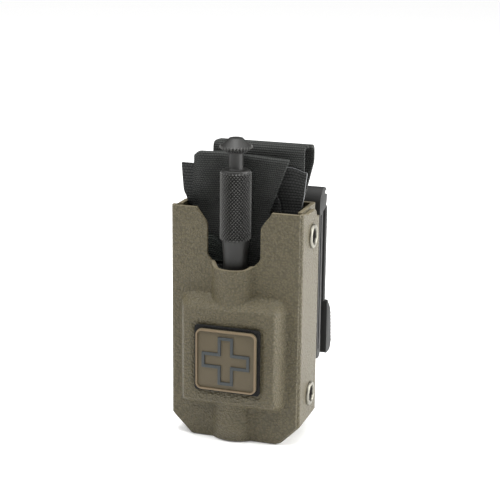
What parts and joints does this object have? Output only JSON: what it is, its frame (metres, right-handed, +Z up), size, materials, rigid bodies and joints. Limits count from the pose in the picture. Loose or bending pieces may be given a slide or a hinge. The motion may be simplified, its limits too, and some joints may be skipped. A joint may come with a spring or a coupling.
{
  "type": "tourniquet in belt holder",
  "caption": "Windlass tourniquet of folded webbing carried in a moulded open-top holder with a notched front, side eyelets, an emblem patch and a hinged belt clip.",
  "frame": {"origin": "on the holder's flat bottom face, halfway across it and 10.5 mm behind the holder's flat front", "axes": "+Z up along the windlass, -Y out of the emblem's face, +X to the right seen from the front"},
  "size_m": [0.057, 0.0632, 0.1247],
  "materials": {
    "shell_plastic": "earth brown formed sheet, fine haircell grain",
    "bright_metal": "bright nickel plate",
    "dark_metal": "black finish",
    "windlass_metal": "dark grey hard anodising, diamond knurl",
    "loop_fabric": "black loop pile",
    "patch_tan": "matt moulded soft PVC, brown",
    "patch_rim": "matt moulded soft PVC, lighter brown",
    "patch_grey": "matt moulded soft PVC, slate grey",
    "webbing": "black woven nylon webbing",
    "knit_elastic": "grey-black knitted elastic",
    "stiffener": "plain black sheet",
    "ring_plastic": "black moulded nylon",
    "clip_plastic": "black glass-filled nylon, satin"
  },
  "bodies": {
    "holder": {"front_shell": "shell_plastic", "back_shell": "shell_plastic", "eyelet_left_upper": "bright_metal", "eyelet_left_lower": "bright_metal", "eyelet_right_upper": "bright_metal", "eyelet_right_lower": "bright_metal", "loop_panel": "loop_fabric", "patch_body": "patch_tan", "patch_rim": "patch_rim", "patch_cross": "patch_grey", "clip_nut_1": "bright_metal", "clip_nut_2": "bright_metal", "clip_nut_3": "bright_metal", "clip_nut_4": "bright_metal", "clip_screw_1": "dark_metal", "clip_screw_2": "dark_metal", "clip_screw_3": "dark_metal", "clip_screw_4": "dark_metal", "spacer_screw_1": "dark_metal", "spacer_screw_2": "dark_metal", "clip_base": "clip_plastic", "hinge_pin": "dark_metal", "belt_spacer": "clip_plastic"},
    "tourniquet": {"tension_band": "webbing", "main_strap": "webbing", "left_tail": "webbing", "right_tail": "webbing", "base_plate": "stiffener", "keeper_tab": "knit_elastic", "buckle_frame": "dark_metal", "buckle_hook": "dark_metal", "lock_ring": "ring_plastic", "ring_keeper": "webbing"},
    "windlass": {"windlass": "windlass_metal"},
    "flap": {"clip_flap": "clip_plastic"},
    "left_lever": {"lever_left": "clip_plastic"},
    "right_lever": {"lever_right": "clip_plastic"}
  },
  "joints": [
    {"name": "tourniquet_draw", "type": "slide", "parent": "holder", "child": "tourniquet", "axis": [0, 0, 1], "range_m": [0, 0.12]},
    {"name": "windlass_turn", "type": "hinge", "parent": "tourniquet", "child": "windlass", "pos_m": [-0.0012, -0.0079, 0.06485], "axis": [0, 1, 0], "range_deg": [-0.7, 0.7]},
    {"name": "flap_hinge", "type": "hinge", "parent": "holder", "child": "flap", "pos_m": [0, 0.0246, 0.0954], "axis": [1, 0, 0], "range_deg": [0, 95]},
    {"name": "left_lever_squeeze", "type": "slide", "parent": "flap", "child": "left_lever", "axis": [1, 0, 0], "range_m": [0, 0.0025], "stiffness_N_per_m": 1500},
    {"name": "right_lever_squeeze", "type": "slide", "parent": "flap", "child": "right_lever", "axis": [-1, 0, 0], "range_m": [0, 0.0025], "stiffness_N_per_m": 1500}
  ]
}
